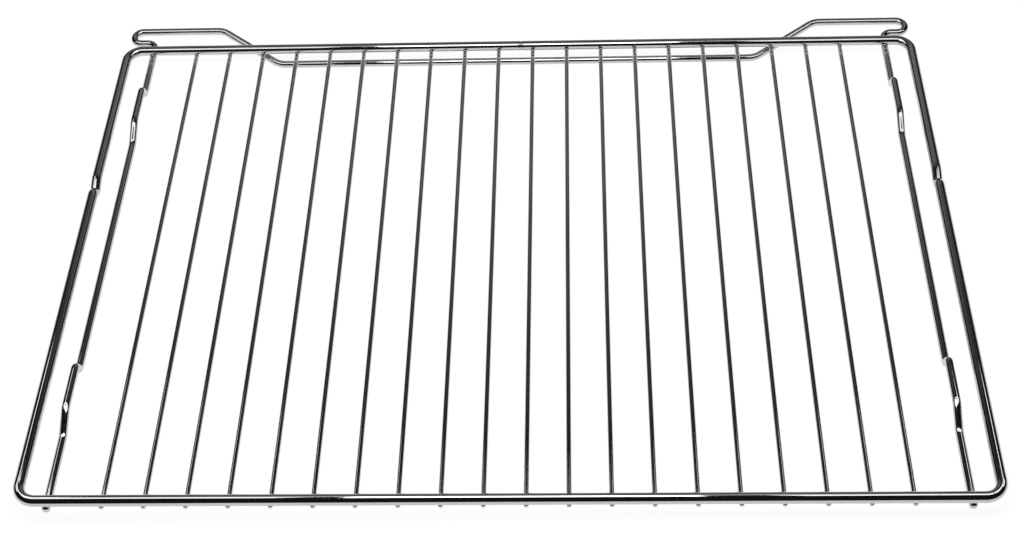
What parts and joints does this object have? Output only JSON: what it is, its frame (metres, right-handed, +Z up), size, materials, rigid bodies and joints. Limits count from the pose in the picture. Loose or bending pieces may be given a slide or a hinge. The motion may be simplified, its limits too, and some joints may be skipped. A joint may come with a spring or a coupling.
{
  "type": "oven shelf rack",
  "caption": "Chromed wire oven shelf: a rounded rectangular frame carrying parallel rods, over a bent support wire with raised bumps along the sides and ears behind the rear bar.",
  "frame": {"origin": "centre of the shelf's outside box in plan, on the level of its lowest wire", "axes": "+X to the right along the front bar, +Y from the front bar to the ears at the rear, +Z up"},
  "size_m": [0.582, 0.4274, 0.0154],
  "materials": {
    "frame_chrome": "polished chrome plate",
    "support_chrome": "polished chrome plate",
    "rod_chrome": "polished chrome plate"
  },
  "bodies": {
    "root": {"outer_frame": "frame_chrome", "support_wire": "support_chrome", "grid_rod_01": "rod_chrome", "grid_rod_02": "rod_chrome", "grid_rod_03": "rod_chrome", "grid_rod_04": "rod_chrome", "grid_rod_05": "rod_chrome", "grid_rod_06": "rod_chrome", "grid_rod_07": "rod_chrome", "grid_rod_08": "rod_chrome", "grid_rod_09": "rod_chrome", "grid_rod_10": "rod_chrome", "grid_rod_11": "rod_chrome", "grid_rod_12": "rod_chrome", "grid_rod_13": "rod_chrome", "grid_rod_14": "rod_chrome", "grid_rod_15": "rod_chrome", "grid_rod_16": "rod_chrome", "grid_rod_17": "rod_chrome", "grid_rod_18": "rod_chrome", "grid_rod_19": "rod_chrome", "grid_rod_20": "rod_chrome"}
  },
  "joints": []
}
